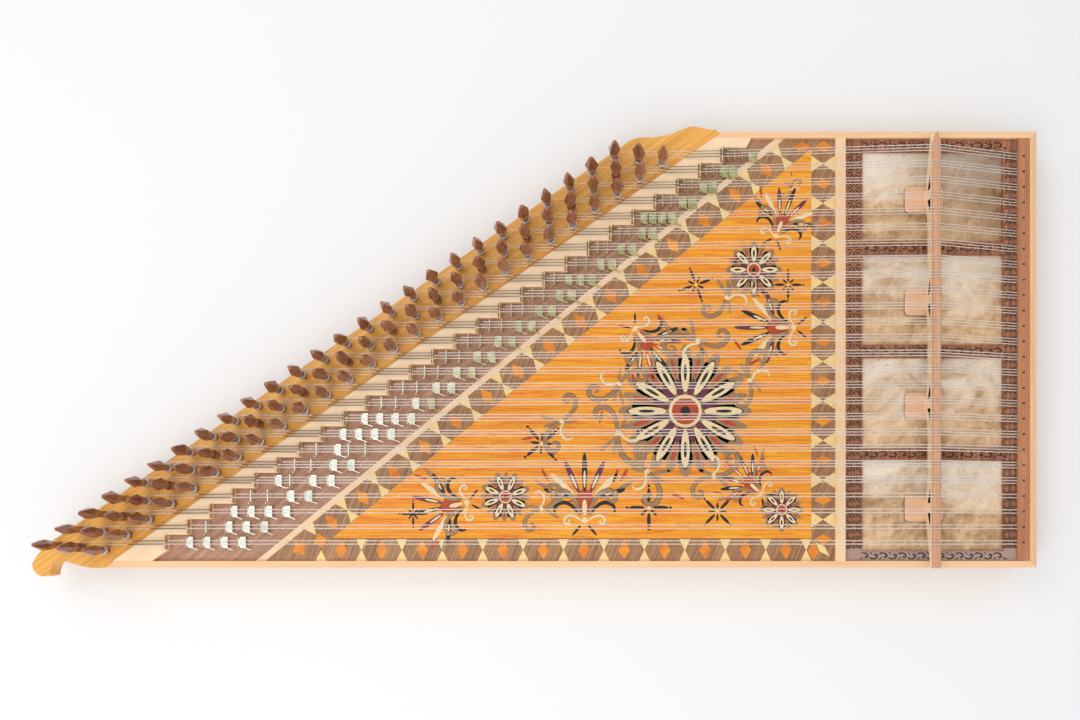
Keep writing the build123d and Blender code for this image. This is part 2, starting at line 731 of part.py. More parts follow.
# Bridge feet: a thin rounded pad in the middle of each skin
skin_top = SKIN_Z + SKIN_THICK
FOOT_CORNER = 4.0
FOOT_CHAMFER = 0.5
foot_y = [y + FOOT_SHIFT for y in window_y]
with BuildPart() as bridge_feet:
    for y in foot_y:
        with BuildSketch(Plane.XY.offset(skin_top)):
            with Locations((FOOT_X, y)):
                RectangleRounded(FOOT_LENGTH, FOOT_WIDTH, FOOT_CORNER)
        extrude(amount=FOOT_THICK)
    chamfer(bridge_feet.faces().group_by(Axis.Z)[-1].edges(), FOOT_CHAMFER)
bridge_feet.part.label = "bridge_feet"
export_step(bridge_feet.part, "parts/bridge_feet.step")

# Bridge: an upright wall with a foot over each skin, arches between, and pierced corners
LEG_HALF = 6.5
ARCH_RISE = 47.6
ARCH_SPRING = 42.0
ARCH_SHOULDER = (22.0, 47.0)
END_LOW = 55.5
END_SHOULDER = (32.0, 49.0)
PIERCED = ((4.5, 55.5), (4.5, 47.2), (20.0, 54.8))
cap_bottom = BRIDGE_TOP - BRIDGE_CAP
foot_top = skin_top + FOOT_THICK
with BuildPart() as bridge:
    with BuildSketch(Plane.YZ.offset(BRIDGE_X - BRIDGE_WALL / 2)):
        with BuildLine():
            Line((BRIDGE_REAR, cap_bottom), (BRIDGE_FRONT, cap_bottom))
            Line((BRIDGE_FRONT, cap_bottom), (BRIDGE_FRONT, END_LOW))
            Spline(
                (BRIDGE_FRONT, END_LOW), (foot_y[0] - END_SHOULDER[0], END_SHOULDER[1]),
                (foot_y[0] - LEG_HALF, ARCH_SPRING),
            )
            for y in foot_y:
                leg = [(y - LEG_HALF, ARCH_SPRING), (y - LEG_HALF, foot_top), (y + LEG_HALF, foot_top)]
                Polyline(*leg, (y + LEG_HALF, ARCH_SPRING))
            for near, far in zip(foot_y, foot_y[1:]):
                Spline(
                    (near + LEG_HALF, ARCH_SPRING), (near + ARCH_SHOULDER[0], ARCH_SHOULDER[1]),
                    ((near + far) / 2, ARCH_RISE),
                    (far - ARCH_SHOULDER[0], ARCH_SHOULDER[1]), (far - LEG_HALF, ARCH_SPRING),
                )
            Spline(
                (foot_y[-1] + LEG_HALF, ARCH_SPRING),
                (foot_y[-1] + END_SHOULDER[0], END_SHOULDER[1]), (BRIDGE_REAR, END_LOW),
            )
            Line((BRIDGE_REAR, END_LOW), (BRIDGE_REAR, cap_bottom))
        make_face()
        for y in foot_y:
            for side in (-1, 1):
                Polygon(*[(y + side * a, z) for a, z in PIERCED], align=None, mode=Mode.SUBTRACT)
    extrude(amount=BRIDGE_WALL)
bridge.part.label = "bridge"
export_step(bridge.part, "parts/bridge.step")

# Bridge cap: the hard strip that the strings cross, drawn to a point at its rear end
CAP_POINT = 10.0
CAP_TIP_HALF = 0.8
with BuildPart() as bridge_cap:
    with BuildSketch(Plane.XY.offset(cap_bottom)):
        half = CAP_WIDTH / 2
        Polygon(
            (BRIDGE_X - half, BRIDGE_FRONT), (BRIDGE_X + half, BRIDGE_FRONT),
            (BRIDGE_X + half, BRIDGE_REAR - CAP_POINT), (BRIDGE_X + CAP_TIP_HALF, BRIDGE_REAR),
            (BRIDGE_X - CAP_TIP_HALF, BRIDGE_REAR), (BRIDGE_X - half, BRIDGE_REAR - CAP_POINT),
            align=None,
        )
    extrude(amount=BRIDGE_CAP)
    chamfer(bridge_cap.faces().sort_by(Axis.Z)[-1].edges().filter_by(Axis.Y), CAP_CHAMFER)
bridge_cap.part.label = "bridge_cap"
export_step(bridge_cap.part, "parts/bridge_cap.step")


def string_route(course, offset, place):
    """A string from its hitch, over the bridge and the nut, to the side of its peg."""
    radius = string_radius(course)
    y = course_y(course) + offset
    peg = peg_place(course, place)
    reach = hypot(WINDING_LEAD, WINDING_RADIUS + WIRE_RADIUS) + RUNNING_GAP + radius
    cap_flat = CAP_WIDTH / 2 - CAP_CHAMFER
    on_cap = BRIDGE_TOP + STRING_LIFT + radius
    return (
        (HITCH_X, y, STRING_END_Z),
        (BRIDGE_X + cap_flat, y, on_cap),
        (BRIDGE_X - cap_flat, y, on_cap),
        (nut_x(course) - NUT_THICK / 2, y, NUT_TOP + STRING_LIFT + radius),
        (peg[0], peg[1] + reach, WINDING_Z),
    )


def string_solid(course, offset, place):
    """A string is a round tube along straight runs, mitred where it bends."""
    route = string_route(course, offset, place)
    with BuildPart(mode=Mode.PRIVATE) as tube:
        with BuildLine() as path:
            Polyline(*route)
        with BuildSketch(Plane(route[0], z_dir=path.line % 0)):
            Circle(string_radius(course))
        sweep(path=path.line, transition=Transition.RIGHT)
    return tube.part


string_sets = {
    "strings_bass": range(0, BASS_COURSES),
    "strings_middle": range(BASS_COURSES, MIDDLE_COURSES),
    "strings_treble": range(MIDDLE_COURSES, COURSES),
}
for name, courses in string_sets.items():
    with BuildPart() as strings:
        add([string_solid(i, *string) for i in courses for string in string_offsets(i)])
    strings.part.label = name
    export_step(strings.part, f"parts/{name}.step")

# Winding: three turns of string round a peg. Each half turn is a half circle, tilted so that
# the tube climbs by half a pitch; both ends run straight out for one wire diameter.
half_turns = 2 * TURNS


def winding_point(step):
    """Point after a count of half turns, from the rear side of the peg, counterclockwise."""
    angle = pi / 2 + step * pi
    height = WINDING_Z + step * TURN_PITCH / 2
    return Vector(WINDING_RADIUS * cos(angle), WINDING_RADIUS * sin(angle), height)


with BuildPart() as winding:
    with BuildLine() as winding_path:
        Line(winding_point(0) + Vector(WINDING_LEAD, 0, 0), winding_point(0))
        for n in range(half_turns):
            ThreePointArc(winding_point(n), winding_point(n + 0.5), winding_point(n + 1))
        Line(winding_point(half_turns), winding_point(half_turns) - Vector(WINDING_LEAD, 0, 0))
    with BuildSketch(Plane(winding_path.line @ 0, z_dir=(-1, 0, 0))):
        Circle(WIRE_RADIUS)
    sweep(path=winding_path.line)

PER_HALF_TURN = 24
samples = [winding_point(n / PER_HALF_TURN) for n in range(PER_HALF_TURN * half_turns + 1)]
least_gap = min(
    (samples[a] - samples[b]).length - 2 * WIRE_RADIUS
    for a in range(len(samples))
    for b in range(a + PER_HALF_TURN, len(samples))
)
print("least gap of a winding to itself:", round(least_gap, 3), "mm")

# Tuning peg: a round shank and a faceted head that is widest at its middle
with BuildPart() as peg:
    with BuildSketch(Plane.XY.offset(PEGBOARD_TOP - PEG_DEPTH)):
        Circle(PEG_RADIUS)
    extrude(amount=PEG_DEPTH + SHANK_HEIGHT)
    for amount, taper in (
        (HEAD_HEIGHT - HEAD_WIDEST, HEAD_TAPER_UP),
        (SHANK_HEIGHT - HEAD_WIDEST, HEAD_TAPER_DOWN),
    ):
        with BuildSketch(Plane.XY.offset(PEGBOARD_TOP + HEAD_WIDEST)):
            Polygon(
                (HEAD_HALF_LONG, 0), (HEAD_CORNER, HEAD_HALF_FLAT),
                (-HEAD_CORNER, HEAD_HALF_FLAT), (-HEAD_HALF_LONG, 0),
                (-HEAD_CORNER, -HEAD_HALF_FLAT), (HEAD_CORNER, -HEAD_HALF_FLAT),
                align=None,
            )
        extrude(amount=amount, taper=taper)


def peg_location(course, place):
    """The heads stand at any angle, as tuning leaves them."""
    turn = (course * TURN_BY_COURSE + place * TURN_BY_PLACE) % 180
    return Location(peg_place(course, place), turn)


strung = [(i, place) for i in range(COURSES) for _, place in string_offsets(i)]
every_peg = [(i, j) for i in range(COURSES) for j in range(3)]

with BuildPart() as tuning_pegs:
    with Locations([peg_location(i, j) for i, j in every_peg if not is_moving_peg(i, j)]):
        add(peg.part)
tuning_pegs.part.label = "tuning_pegs"
export_step(tuning_pegs.part, "parts/tuning_pegs.step")

winding_sets = {
    "string_windings_front": range(0, COURSES // 2),
    "string_windings_rear": range(COURSES // 2, COURSES),
}
for name, courses in winding_sets.items():
    still = [(i, j) for i, j in strung if i in courses and not is_moving_peg(i, j)]
    with BuildPart() as string_windings:
        with Locations([peg_place(i, j) for i, j in still]):
            add(winding.part)
    string_windings.part.label = name
    export_step(string_windings.part, f"parts/{name}.step")

for i, j in every_peg:
    if is_moving_peg(i, j):
        with BuildPart() as moving_peg:
            with Locations(peg_location(i, j)):
                add(peg.part)
            with Locations(peg_place(i, j)):
                add(winding.part)
        moving_peg.part.label = f"peg_course_{i + 1:02d}"
        export_step(moving_peg.part, f"parts/peg_course_{i + 1:02d}.step")


def lever_solid(length):
    """A lever lying flat, its hinge line on the Y axis: barrel, plate and finger tab."""
    with BuildPart(mode=Mode.PRIVATE) as lever:
        with BuildSketch(Plane.XZ.offset(-BARREL_HALF)):
            Circle(BARREL_RADIUS)
            with Locations((LEVER_ROOT / 2, 0)):
                Rectangle(LEVER_ROOT, LEVER_THICK)
            Circle(PIN_RADIUS + PIN_PLAY, mode=Mode.SUBTRACT)
        extrude(amount=2 * BARREL_HALF)
        with BuildSketch(Plane.XY.offset(-LEVER_THICK / 2)):
            Polygon(
                (LEVER_ROOT, LEVER_HALF_WIDTH), (LEVER_ROOT, -LEVER_HALF_WIDTH),
                (length - TAB_ROOT, -LEVER_HALF_WIDTH),
                (length + TAB_REACH, -LEVER_HALF_WIDTH - TAB_DROP),
                (length + TAB_REACH, -LEVER_HALF_WIDTH - TAB_DROP + TAB_WIDTH),
                (length, -LEVER_HALF_WIDTH), (length, LEVER_HALF_WIDTH),
                align=None,
            )
        extrude(amount=LEVER_THICK)
    return lever.part


def lever_location(course, place, raised):
    return Location(
        (lever_axis_x(course, place), course_y(course), LEVER_AXIS_Z),
        (0, -90 if raised else 0, 0),
    )


every_lever = [(i, k) for i in range(COURSES) for k in range(4)]

with BuildPart() as levers:
    add([
        lever_solid(lever_length(i, k)).moved(lever_location(i, k, LEVER_STATES[i][k] == "R"))
        for i, k in every_lever
        if not is_moving_lever(i, k)
    ])
levers.part.label = "levers"
export_step(levers.part, "parts/levers.step")

for i, k in every_lever:
    if is_moving_lever(i, k):
        with BuildPart() as moving_lever:
            with Locations(lever_location(i, k, False)):
                add(lever_solid(lever_length(i, k)))
        moving_lever.part.label = f"lever_course_{i + 1:02d}"
        export_step(moving_lever.part, f"parts/lever_course_{i + 1:02d}.step")

# Lever brackets: two small uprights hold the pin of each lever
with BuildPart() as bracket_pair:
    for near in (bracket_inner, -bracket_inner - BRACKET_THICK):
        with BuildSketch(Plane.XZ.offset(-near)):
            with Locations((0, (BRACKET_CROWN + LEVER_BOARD_TOP - LEVER_AXIS_Z) / 2)):
                Rectangle(2 * BRACKET_HALF, BRACKET_CROWN + LEVER_AXIS_Z - LEVER_BOARD_TOP)
            Circle(PIN_RADIUS, mode=Mode.SUBTRACT)
        extrude(amount=-BRACKET_THICK)

with BuildPart() as lever_pin:
    pin_half = bracket_inner + BRACKET_THICK
    with BuildSketch(Plane.XZ.offset(-pin_half)):
        Circle(PIN_RADIUS)
    extrude(amount=2 * pin_half)

with BuildPart() as lever_brackets:
    with Locations([lever_location(i, k, False) for i, k in every_lever]):
        add(bracket_pair.part)
lever_brackets.part.label = "lever_brackets"
export_step(lever_brackets.part, "parts/lever_brackets.step")

with BuildPart() as lever_pins:
    with Locations([lever_location(i, k, False) for i, k in every_lever]):
        add(lever_pin.part)
lever_pins.part.label = "lever_pins"
export_step(lever_pins.part, "parts/lever_pins.step")
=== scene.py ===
# %% [markdown]
# A qanun in its own colours
#
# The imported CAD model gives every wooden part, peg, lever and string its shape and its place.
# This notebook adds what a drawing of solids leaves out: figured wood, laid-in ornament, engraved
# borders, small brass parts, and the light of a photographer's table. The model is loaded first,
# and its box is kept, because nothing that is added may reach outside it.

from math import cos, pi, radians, sin

import bpy
from mathutils import Matrix, Vector


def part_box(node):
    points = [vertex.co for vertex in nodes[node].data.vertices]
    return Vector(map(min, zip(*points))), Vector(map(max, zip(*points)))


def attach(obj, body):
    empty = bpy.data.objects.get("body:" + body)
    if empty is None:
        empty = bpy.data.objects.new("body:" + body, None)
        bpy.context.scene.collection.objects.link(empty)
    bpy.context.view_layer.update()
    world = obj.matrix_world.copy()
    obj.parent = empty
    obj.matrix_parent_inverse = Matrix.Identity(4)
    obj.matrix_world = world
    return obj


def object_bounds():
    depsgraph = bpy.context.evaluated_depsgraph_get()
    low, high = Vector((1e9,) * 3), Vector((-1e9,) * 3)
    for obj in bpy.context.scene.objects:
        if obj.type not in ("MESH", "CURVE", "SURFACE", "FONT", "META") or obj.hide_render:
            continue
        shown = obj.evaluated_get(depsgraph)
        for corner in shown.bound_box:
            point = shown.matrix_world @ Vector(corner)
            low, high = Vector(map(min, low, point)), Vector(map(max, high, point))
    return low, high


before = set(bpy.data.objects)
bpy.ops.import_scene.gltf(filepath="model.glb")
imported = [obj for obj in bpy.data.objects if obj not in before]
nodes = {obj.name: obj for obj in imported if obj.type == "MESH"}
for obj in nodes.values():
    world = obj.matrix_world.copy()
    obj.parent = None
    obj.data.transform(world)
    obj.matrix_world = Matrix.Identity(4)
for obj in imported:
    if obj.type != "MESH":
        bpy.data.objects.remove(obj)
cad_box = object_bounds()
print("nodes:", len(nodes), "box:", [tuple(round(v, 4) for v in c) for c in cad_box])

# %% [markdown]
# Real sizes
#
# Blender counts in metres, while an instrument maker thinks in millimetres. One small factor
# keeps the numbers below readable. Wherever the model already holds a size, it is read from the
# box of its node instead of being written again.

# %% Sizes that several steps share
MM = 0.001
BODY = "box"

BOARD_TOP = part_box("soundboard")[1].z
FRONT_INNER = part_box("nut_board")[0].y
REAR_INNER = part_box("nut_board")[1].y

COURSES = 26
COURSE_PITCH = 14.38 * MM
FIRST_COURSE_Y = -178.45 * MM
FIRST_NUT_X = -339.4 * MM
NUT_STEP = 20.65 * MM
PEG_SLANT = radians(35.13)
BAR_ANGLE = 39.1
BAR_SLANT = radians(BAR_ANGLE)


def course_y(course):
    """Place of a course across the instrument, from the long front side."""
    return FIRST_COURSE_Y + course * COURSE_PITCH


print("soundboard top at", round(BOARD_TOP / MM, 2), "mm, inside width",
      round((REAR_INNER - FRONT_INNER) / MM, 1), "mm")

# %% [markdown]
# Camera
#
# The photograph looks straight down, a little off the middle of the instrument: the left walls of
# the bridge and the front sides of the pegs show. A camera that tilts would make the rails
# converge, so this one looks straight down as well, and its lens is shifted to frame the whole
# instrument, as a view camera does.

# %% Camera
camera_data = bpy.data.cameras.new("camera")
camera_data.sensor_width = 36
camera_data.lens = 30
camera_data.shift_x = -0.0759
camera_data.shift_y = 0.1667
camera = bpy.data.objects.new("camera", camera_data)
camera.location = (0.0829, -0.1763, 0.881)
bpy.context.scene.collection.objects.link(camera)
bpy.context.scene.camera = camera
print("camera", round(camera.location.z / MM), "mm above the floor")

# %% [markdown]
# Floor and light
#
# The photograph was taken on a white table, with broad soft light that leaves only a faint shadow.
# A pale plane is the table. A bright even world fills every side, and one large lamp above gives
# the pegs and strings their soft shadows. The lamp is weak enough that no pale wood turns white.

# %% Helpers for objects
def deselect():
    """Operators act on all that is selected, so each step starts with nothing selected."""
    if bpy.context.object and bpy.context.object.mode != "OBJECT":
        bpy.ops.object.mode_set(mode="OBJECT")
    bpy.ops.object.select_all(action="DESELECT")


def settle(obj, name):
    """The finished piece gets its name, and its place goes into its mesh."""
    deselect()
    obj.select_set(True)
    bpy.context.view_layer.objects.active = obj
    bpy.ops.object.transform_apply(location=True, rotation=True, scale=True)
    obj.name = name
    obj.data.name = name
    return obj


# %% Floor
FLOOR_SIZE = 12.0
deselect()
bpy.ops.mesh.primitive_plane_add(size=FLOOR_SIZE, location=(0, 0, cad_box[0].z - 0.2 * MM))
floor = settle(bpy.context.object, "floor")
paper = bpy.data.materials.new("white_paper")
paper.use_nodes = True
paper_shader = paper.node_tree.nodes["Principled BSDF"]
paper_shader.inputs["Base Color"].default_value = (0.87, 0.875, 0.885, 1.0)
paper_shader.inputs["Roughness"].default_value = 0.9
floor.data.materials.append(paper)
print("floor", FLOOR_SIZE, "m wide")

# %% World and lamps
SKY_STRENGTH = 0.80
LAMP_HEIGHT = 1.6
world = bpy.data.worlds.new("studio")
bpy.context.scene.world = world
world.use_nodes = True
sky = world.node_tree.nodes["Background"]
sky.inputs["Color"].default_value = (1.0, 1.0, 1.0, 1.0)
sky.inputs["Strength"].default_value = SKY_STRENGTH


def soft_lamp(name, place, target, size, power):
    """A square lamp that faces its target."""
    data = bpy.data.lights.new(name, "AREA")
    data.shape = "SQUARE"
    data.size = size
    data.energy = power
    lamp = bpy.data.objects.new(name, data)
    lamp.location = place
    aim = Vector(target) - Vector(place)
    lamp.rotation_euler = aim.to_track_quat("-Z", "Y").to_euler()
    bpy.context.scene.collection.objects.link(lamp)
    return lamp


soft_lamp("key_lamp", (-0.5, -1.0, LAMP_HEIGHT), (0, 0.2, 0), 1.1, 10)
soft_lamp("fill_lamp", (-0.9, 0.7, LAMP_HEIGHT), (0.0, 0.1, 0), 1.2, 5.5)
bpy.context.scene.view_settings.view_transform = "Standard"
print("world strength", SKY_STRENGTH)

# %% [markdown]
# Shader maths in plain Python
#
# A wood grain is a formula: stretched noise, mixed colours, a few thin dark lines. Wiring it by
# hand takes dozens of nodes. The small class below wraps one socket of a node tree, so that
# a + b or 1 - mask adds the Math node that works it out. Every other node comes from its one
# method, which takes the node's type, its settings, and what goes into its sockets.

# %% A socket that can be calculated with
class Wire:
    """One output socket in a material. Python's operators add Math nodes behind it."""

    def __init__(self, tree, socket=None):
        self.tree = tree
        self.socket = socket

    def node(self, kind, settings, values, output=0):
        """Any node: its settings come first, then the values or wires of its inputs."""
        made = self.tree.nodes.new(kind)
        for key, value in settings.items():
            if key == "stops":
                fill_ramp(made.color_ramp, value)
            else:
                setattr(made, key, value)
        for key, value in values.items():
            if isinstance(value, Wire):
                self.tree.links.new(value.socket, made.inputs[key])
            else:
                made.inputs[key].default_value = value
        return Wire(self.tree, made.outputs[output])

    def math(self, operation, *values):
        return self.node("ShaderNodeMath", {"operation": operation}, dict(enumerate(values)))

    def __add__(self, other):
        return self.math("ADD", self, other)

    __radd__ = __add__

    def __sub__(self, other):
        return self.math("SUBTRACT", self, other)

    def __rsub__(self, other):
        return self.math("SUBTRACT", other, self)

    def __mul__(self, other):
        return self.math("MULTIPLY", self, other)

    __rmul__ = __mul__

    def __truediv__(self, other):
        return self.math("DIVIDE", self, other)

    def __lt__(self, other):
        return self.math("LESS_THAN", self, other)

    def __gt__(self, other):
        return self.math("GREATER_THAN", self, other)


def fill_ramp(ramp, stops):
    """Stops are pairs of a place and a grey or a colour."""
    while len(ramp.elements) < len(stops):
        ramp.elements.new(1.0)
    for element, (place, colour) in zip(ramp.elements, stops):
        element.position = place
        if isinstance(colour, (int, float)):
            colour = (colour, colour, colour)
        element.color = (*colour, 1.0)


# %% Starting and closing a material
def new_finish(name, constants):
    """A material with its shader, and the object's own coordinates as the place to start from."""
    material = bpy.data.materials.new(name)
    material.use_nodes = True
    tree = material.node_tree
    tree.nodes.clear()
    shader = tree.nodes.new("ShaderNodeBsdfPrincipled")
    output = tree.nodes.new("ShaderNodeOutputMaterial")
    tree.links.new(shader.outputs["BSDF"], output.inputs["Surface"])
    for key, value in constants.items():
        shader.inputs[key].default_value = value
    place = Wire(tree).node("ShaderNodeTexCoord", {}, {}, "Object")
    return material, shader, place


def feed(shader, place, colour=None, roughness=None, height=None, depth=0.0, metallic=None):
    """Links what varies over the surface; a height goes in through a Bump node."""
    for key, wire in (("Base Color", colour), ("Roughness", roughness), ("Metallic", metallic)):
        if wire is not None:
            place.tree.links.new(wire.socket, shader.inputs[key])
    if height is not None:
        values = {"Strength": 1.0, "Distance": depth, "Height": height}
        bump = place.node("ShaderNodeBump", {}, values)
        place.tree.links.new(bump.socket, shader.inputs["Normal"])


def turned(place, turn, size):
    """The place in a pattern's own axes: turned about the vertical, then divided by its size."""
    return place.node(
        "ShaderNodeMapping", {"vector_type": "TEXTURE"},
        {"Vector": place, "Rotation": (0.0, 0.0, turn), "Scale": size},
    )


def noise(place, detail=2.0, roughness=0.5, distortion=0.0):
    """Grey noise from 0 to 1, with features about one unit of the place across."""
    return place.node(
        "ShaderNodeTexNoise", {},
        {"Vector": place, "Scale": 1.0, "Detail": detail, "Roughness": roughness,
         "Distortion": distortion},
        "Fac",
    )


def ramp(value, *stops):
    """A Color Ramp, as grey or as colour."""
    return value.node("ShaderNodeValToRGB", {"stops": stops}, {"Fac": value}, "Color")


def blend(share, first, second):
    """One colour turns into another as the share goes from 0 to 1."""
    colours = [c if isinstance(c, Wire) else (*c, 1.0) for c in (first, second)]
    return share.node(
        "ShaderNodeMix", {"data_type": "RGBA"}, {0: share, 6: colours[0], 7: colours[1]}, 2
    )


def darken(share, colour, shade):
    """Multiplies a colour by a shade, as far as the share says."""
    other = shade if isinstance(shade, Wire) else (*shade, 1.0)
    return share.node(
        "ShaderNodeMix", {"data_type": "RGBA", "blend_type": "MULTIPLY"},
        {0: share, 6: colour, 7: other}, 2,
    )


def axes(place):
    """The three numbers of a place."""
    return [place.node("ShaderNodeSeparateXYZ", {}, {"Vector": place}, k) for k in "XYZ"]


print("shader helpers ready")

# %% [markdown]
# Wood
#
# Every board shows three things at once: soft bands of lighter and darker wood, a few
# millimetres to a few centimetres wide; long fine fibres; and pores, which are short dark
# strokes in walnut and almost nothing in maple. All three are noise that is stretched along the
# grain, so that a long side, a top and an end grain surface each show what they should. A wave
# texture would repeat too evenly, and a picture isn't needed.

# %% One function for every wood
FIBRE = 0.45 * MM
FIBRE_LENGTH = 26.0 * MM
PORE_LENGTH = 5 * MM


def wood(name, pale, deep, turn=0.0, band=9.0, streak=0.5, fibre=0.22, pores=0.0, rough=0.42,
         coat=0.0, length=150.0, wander=0.8, upright=False):
    """Wood with its grain along X turned by an angle, or along Z. Sizes are in millimetres."""
    material, shader, place = new_finish(name, {"Coat Weight": coat, "Coat Roughness": 0.22})
    def grain_box(along, across):
        """Size of a noise feature, with its long side along the grain."""
        return (across, across, along) if upright else (along, across, across)

    bands = noise(turned(place, turn, grain_box(length * MM, band * MM)), 3.0, 0.55, wander)
    fibres = noise(turned(place, turn, grain_box(FIBRE_LENGTH, FIBRE)), 2.0, 0.6)
    tone = ramp(bands + (fibres - 0.5) * fibre, (0.5 - streak / 2, 0.0), (0.5 + streak / 2, 1.0))
    colour = blend(tone, deep, pale)
    if pores:
        pore_box = grain_box(PORE_LENGTH, FIBRE * 0.8)
        strokes = ramp(noise(turned(place, turn, pore_box), 1.0), (0.30, 1.0), (0.40, 0.0))
        colour = darken(strokes * pores, colour, (0.35, 0.27, 0.22))
    polish = rough + (fibres - 0.5) * 0.16
    feed(shader, place, colour, polish, fibres, 0.03 * MM)
    return material, shader, place, colour


def paint(material, *names):
    """A CAD node keeps its mesh and gets the material."""
    for name in names:
        data = nodes[name].data
        data.materials.clear()
        data.materials.append(material)


# %% Maple rails, nut board and bar
ACROSS = radians(90)
MAPLE = (0.94, 0.63, 0.365)
MAPLE_DEEP = (0.84, 0.48, 0.24)
maple_long = wood("maple_long", MAPLE, MAPLE_DEEP, 0.0, 7.0, 0.7, 0.25)[0]
maple_cross = wood("maple_cross", (0.96, 0.70, 0.43), (0.88, 0.55, 0.30), ACROSS, 6.0, 0.7, 0.25)[0]
maple_end = wood("maple_end", (0.88, 0.55, 0.32), (0.70, 0.39, 0.205), ACROSS, 6.0, 0.7, 0.25)[0]
maple_nut = wood("maple_nut", (0.96, 0.75, 0.50), (0.90, 0.62, 0.38), PEG_SLANT, 8.0, 0.7, 0.25)[0]
maple_bar = wood("maple_bar", (0.95, 0.72, 0.47), (0.86, 0.56, 0.32), BAR_SLANT, 5.0, 0.7, 0.25)[0]
paint(maple_long, "front_rail", "rear_rail")
paint(maple_cross, "cross_rail")
paint(maple_end, "end_rail")
paint(maple_nut, "nut_board")
paint(maple_bar, "slanted_bar")

# %% [markdown]
# Golden and walnut boards
#
# The pegboard and the soundboard are a yellow wood under clear varnish, with wide lively figure.
# The lever board is plain walnut with open pores, and the boards inside the box are cheap poplar.
# The same function makes them all: only colours, band width, pores and varnish differ. The turn
# follows the way each board is cut, along the slanted side or along the strings.

# %% Golden pegboard, walnut lever board and hidden wood
pegboard_wood = wood(
    "pegboard_wood", (0.98, 0.54, 0.115), (0.70, 0.28, 0.038), PEG_SLANT, 2.6, 0.5, 0.35,
    0.3, 0.42, 0.1,
)[0]
lever_walnut = wood(
    "lever_walnut", (0.66, 0.37, 0.24), (0.30, 0.14, 0.08), PEG_SLANT + radians(6), 3.5, 0.6, 0.3,
    0.6, 0.5,
)[0]
plain_poplar = wood("plain_poplar", (0.74, 0.52, 0.30), (0.60, 0.39, 0.21), 0.0, 12.0, 0.7, 0.3)[0]
paint(pegboard_wood, "pegboard")
paint(lever_walnut, "lever_board")
paint(plain_poplar, "back_board", "peg_block", "slant_beam", "skin_bearer", "soundboard_braces")

# %% Golden soundboard
sound_wood = wood(
    "sound_wood", (1.0, 0.47, 0.016), (0.80, 0.19, 0.004), 0.0, 5.0, 0.36, 0.34, 0.4, 0.42, 0.08,
    110.0, 3.2,
)[0]
paint(sound_wood, "soundboard")

# %% [markdown]
# Bands and dark woods
#
# The three bands are cut from sheets of veneer: walnut for the ground, maple for the bow ties and
# stained wood for the diamonds. Their grain runs as the sheet lay under the knife. The pegs are
# turned from a dark hardwood, their grain upright, so that they don't snap, and polished by hand.

# %% Veneers of the three bands
band_walnut = wood(
    "band_walnut", (0.54, 0.28, 0.125), (0.20, 0.092, 0.036), radians(68), 2.4, 0.45, 0.35,
    0.7, 0.45, 0.05,
)[0]
band_maple = wood(
    "band_maple", (0.97, 0.74, 0.33), (0.88, 0.60, 0.23), 0.0, 6.0, 0.7, 0.2, 0.0, 0.45, 0.1,
)[0]
band_orange = wood(
    "band_orange", (0.96, 0.36, 0.015), (0.66, 0.16, 0.01), radians(20), 18.0, 0.45, 0.12,
    0.1, 0.45, 0.1, 30.0,
)[0]
paint(band_walnut, "inlay_walnut")
paint(band_maple, "inlay_bow_ties")
paint(band_orange, "inlay_diamonds")

# %% Dark woods: pegs, hitch block, cap and skin frame
peg_wood = wood(
    "peg_wood", (0.46, 0.17, 0.08), (0.13, 0.042, 0.022), 0.0, 4.5, 0.55, 0.3, 0.3, 0.24, 0.5,
    40.0, 0.8, True,
)[0]
hitch_wood = wood(
    "hitch_wood", (0.60, 0.255, 0.115), (0.33, 0.125, 0.055), ACROSS, 5.0, 0.6, 0.3, 0.5,
)[0]
cap_wood = wood("cap_wood", (0.76, 0.41, 0.235), (0.52, 0.25, 0.135), ACROSS, 3.0, 0.6, 0.3, 0.4)[0]
peg_names = ["tuning_pegs"] + [f"peg_course_{k:02d}" for k in range(1, COURSES, 2)]
paint(peg_wood, *peg_names)
paint(hitch_wood, "hitch_block")
paint(cap_wood, "bridge_cap")
print("dark woods on", len(peg_names) + 2, "nodes")

# %% [markdown]
# Feet, skin frame and bridge
#
# These three are ordinary boards too, but each shows one thing that its wood alone doesn't. The
# sides of the thin feet, below their top, are painted nearly black: painted shade. The skin frame
# turns paler and greyer towards its front bar. The insides of the bridge's openings are painted
# nearly black: painted shade. So each takes its wood and a mask made of plain coordinates, as a
# board has no edges to pick.

# %% Feet, skin frame and bridge
RIM = 0.45 * MM
PALER_FROM = -0.184
WALL_SKIN = 0.3 * MM
OPENING_LOW, OPENING_HIGH = 44 * MM, 57.2 * MM
foot_wood, foot_shader, place, pad = wood(
    "foot_wood", (0.92, 0.58, 0.37), (0.80, 0.46, 0.275), 0.0, 5.0, 0.7, 0.3,
)
# painted shade: the sides of the feet below their top are painted nearly black
foot_side_shade = axes(place)[2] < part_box("bridge_feet")[1].z - RIM
feed(foot_shader, place, darken(foot_side_shade, pad, (0.10, 0.05, 0.035)))
frame_wood, frame_shader, place, brown = wood(
    "frame_wood", (0.52, 0.20, 0.088), (0.14, 0.046, 0.022), ACROSS, 4.0, 0.45, 0.35,
    0.6, 0.4, 0.08,
)
# the frame's colour turns paler and greyer towards its front bar
front_paling = ramp(axes(place)[1] * -10, (0.15, 0.0), (1.0, 0.35)) * (axes(place)[1] < PALER_FROM) * 2
feed(frame_shader, place, blend(front_paling, brown, (0.46, 0.34, 0.30)))
bridge_wood, bridge_shader, place, cream = wood(
    "bridge_wood", (0.98, 0.80, 0.56), (0.90, 0.68, 0.44), ACROSS, 6.0, 0.7, 0.2,
)
x, y, z = axes(place)
wall_low, wall_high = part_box("bridge")
between_faces = (x > wall_low.x + WALL_SKIN) * (x < wall_high.x - WALL_SKIN)
# painted shade: the insides of the bridge's openings are painted nearly black
inside = between_faces * (z > OPENING_LOW) * (z < OPENING_HIGH)
